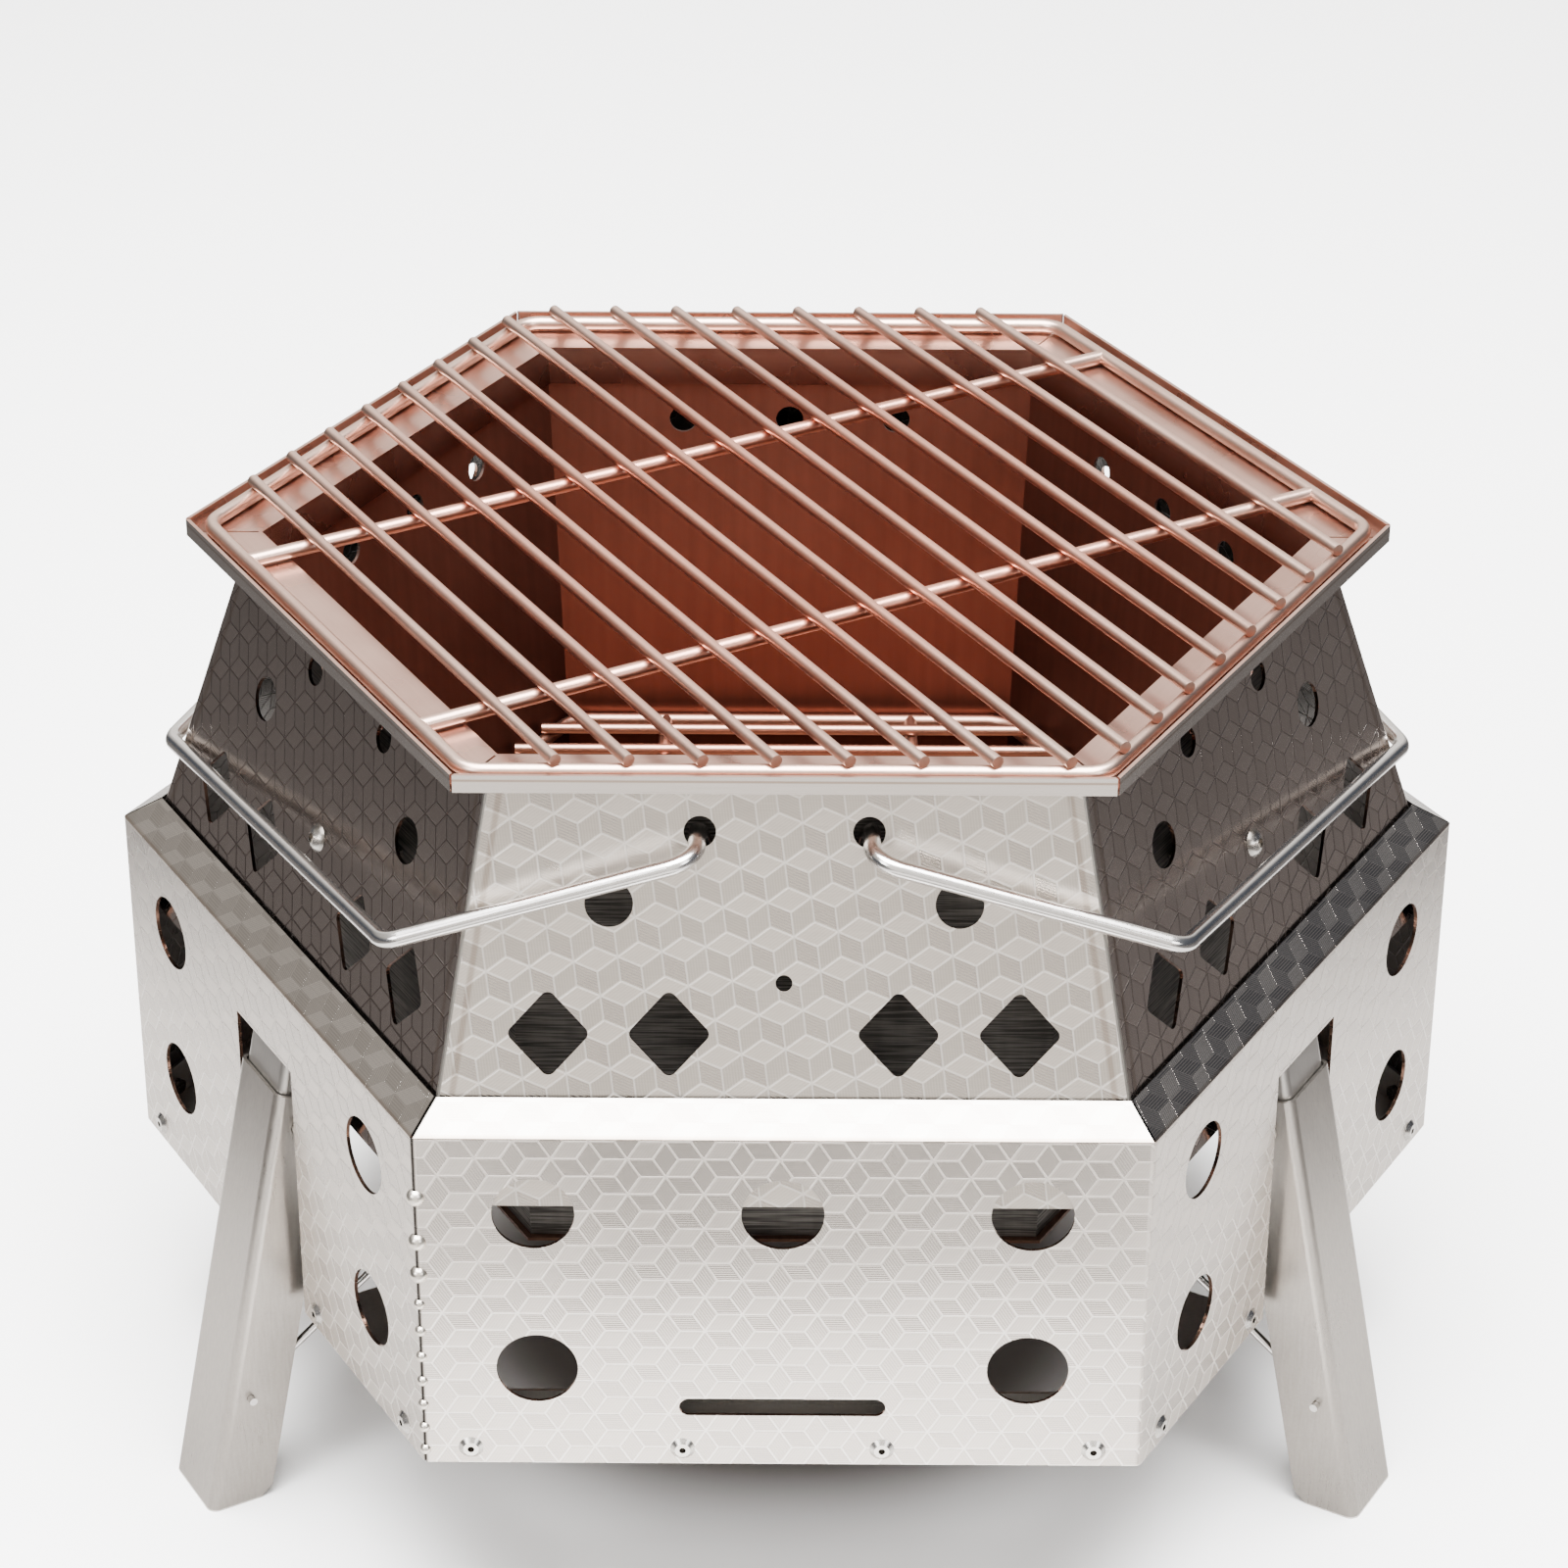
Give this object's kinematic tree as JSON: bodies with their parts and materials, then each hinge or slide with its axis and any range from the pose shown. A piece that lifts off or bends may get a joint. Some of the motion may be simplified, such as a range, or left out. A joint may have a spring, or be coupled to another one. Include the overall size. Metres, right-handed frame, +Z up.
{
  "type": "fire pit with grate",
  "caption": "Hexagonal stainless fire pit: pierced base on folding legs, tapered shell with swinging handles, charcoal grate and lift-off grill grate.",
  "frame": {"origin": "on the floor, on the vertical axis of the hexagonal body", "axes": "+Z up, +X towards a corner of the hexagon, -Y towards the front flat side"},
  "size_m": [0.4596, 0.437, 0.3203],
  "materials": {
    "patterned_steel": "stainless sheet rolled with a fine rhombus pattern",
    "plain_steel": "plain brushed stainless sheet",
    "weld": "bright welded stainless",
    "fastener": "bright stainless fasteners",
    "wire": "drawn stainless wire",
    "grate_wire": "stainless wire, tinted by heat",
    "heat_tinted_steel": "stainless sheet, tinted copper and rose by heat"
  },
  "bodies": {
    "fire_pit_body": {"base_skirt_front": "patterned_steel", "base_skirt_back": "patterned_steel", "corner_welds": "weld", "bottom_ring_right": "plain_steel", "bottom_ring_left": "plain_steel", "bottom_ring_front": "plain_steel", "skirt_rivets": "fastener", "leg_bracket_back": "plain_steel", "leg_pin_back": "fastener", "leg_bracket_front_left": "plain_steel", "leg_pin_front_left": "fastener", "leg_bracket_front_right": "plain_steel", "leg_pin_front_right": "fastener", "shell_panel_right_back": "patterned_steel", "shell_panel_back": "patterned_steel", "shell_panel_left_back": "patterned_steel", "shell_panel_front_left": "patterned_steel", "shell_panel_front": "patterned_steel", "shell_panel_front_right": "patterned_steel", "shell_corner_seams": "weld", "liner": "heat_tinted_steel", "ash_floor": "heat_tinted_steel", "rim_ledge": "heat_tinted_steel", "liner_ties": "plain_steel", "shell_screws": "fastener", "shell_nuts": "fastener"},
    "leg_unit_back": {"leg_back": "plain_steel"},
    "stay_unit_back": {"leg_stay_back": "wire"},
    "leg_unit_front_left": {"leg_front_left": "plain_steel"},
    "stay_unit_front_left": {"leg_stay_front_left": "wire"},
    "leg_unit_front_right": {"leg_front_right": "plain_steel"},
    "stay_unit_front_right": {"leg_stay_front_right": "wire"},
    "handle_unit_right": {"handle_right": "wire"},
    "handle_unit_left": {"handle_left": "wire"},
    "grill_grate": {"grill_frame": "grate_wire", "grill_bars": "grate_wire", "grill_cross_rods": "grate_wire"},
    "charcoal_grate": {"charcoal_frame": "grate_wire", "charcoal_bars": "grate_wire", "charcoal_cross_rods": "grate_wire"}
  },
  "joints": [
    {"name": "leg_fold_back", "type": "hinge", "parent": "fire_pit_body", "child": "leg_unit_back", "pos_m": [0, 0.19339, 0.146], "axis": [-1, 0, 0], "range_deg": [0, 53]},
    {"name": "stay_fold_back", "type": "hinge", "parent": "leg_unit_back", "child": "stay_unit_back", "pos_m": [0, 0.21823, 0.043], "axis": [-1, 0, 0], "range_deg": [0, 21.7]},
    {"name": "leg_fold_front_left", "type": "hinge", "parent": "fire_pit_body", "child": "leg_unit_front_left", "pos_m": [-0.16748, -0.09669, 0.146], "axis": [0.5, -0.866, 0], "range_deg": [0, 53]},
    {"name": "stay_fold_front_left", "type": "hinge", "parent": "leg_unit_front_left", "child": "stay_unit_front_left", "pos_m": [-0.18899, -0.10911, 0.043], "axis": [0.5, -0.866, 0], "range_deg": [0, 21.7]},
    {"name": "leg_fold_front_right", "type": "hinge", "parent": "fire_pit_body", "child": "leg_unit_front_right", "pos_m": [0.16748, -0.09669, 0.146], "axis": [0.5, 0.866, 0], "range_deg": [0, 53]},
    {"name": "stay_fold_front_right", "type": "hinge", "parent": "leg_unit_front_right", "child": "stay_unit_front_right", "pos_m": [0.18899, -0.10911, 0.043], "axis": [0.5, 0.866, 0], "range_deg": [0, 21.7]},
    {"name": "handle_swing_right", "type": "hinge", "parent": "fire_pit_body", "child": "handle_unit_right", "pos_m": [0.02676, 0, 0.28818], "axis": [0, -1, 0], "range_deg": [0, 106]},
    {"name": "handle_swing_left", "type": "hinge", "parent": "fire_pit_body", "child": "handle_unit_left", "pos_m": [-0.02676, 0, 0.28818], "axis": [0, 1, 0], "range_deg": [0, 106]},
    {"name": "grill_lift", "type": "slide", "parent": "fire_pit_body", "child": "grill_grate", "axis": [0, 0, 1], "range_m": [0, 0.06]},
    {"name": "charcoal_lift", "type": "slide", "parent": "fire_pit_body", "child": "charcoal_grate", "axis": [0, 0, 1], "range_m": [0, 0.12]}
  ],
  "couplings": [
    {"joint": "stay_fold_back", "follows": "leg_fold_back", "ratio": 0.4},
    {"joint": "stay_fold_front_left", "follows": "leg_fold_front_left", "ratio": 0.4},
    {"joint": "stay_fold_front_right", "follows": "leg_fold_front_right", "ratio": 0.4}
  ]
}
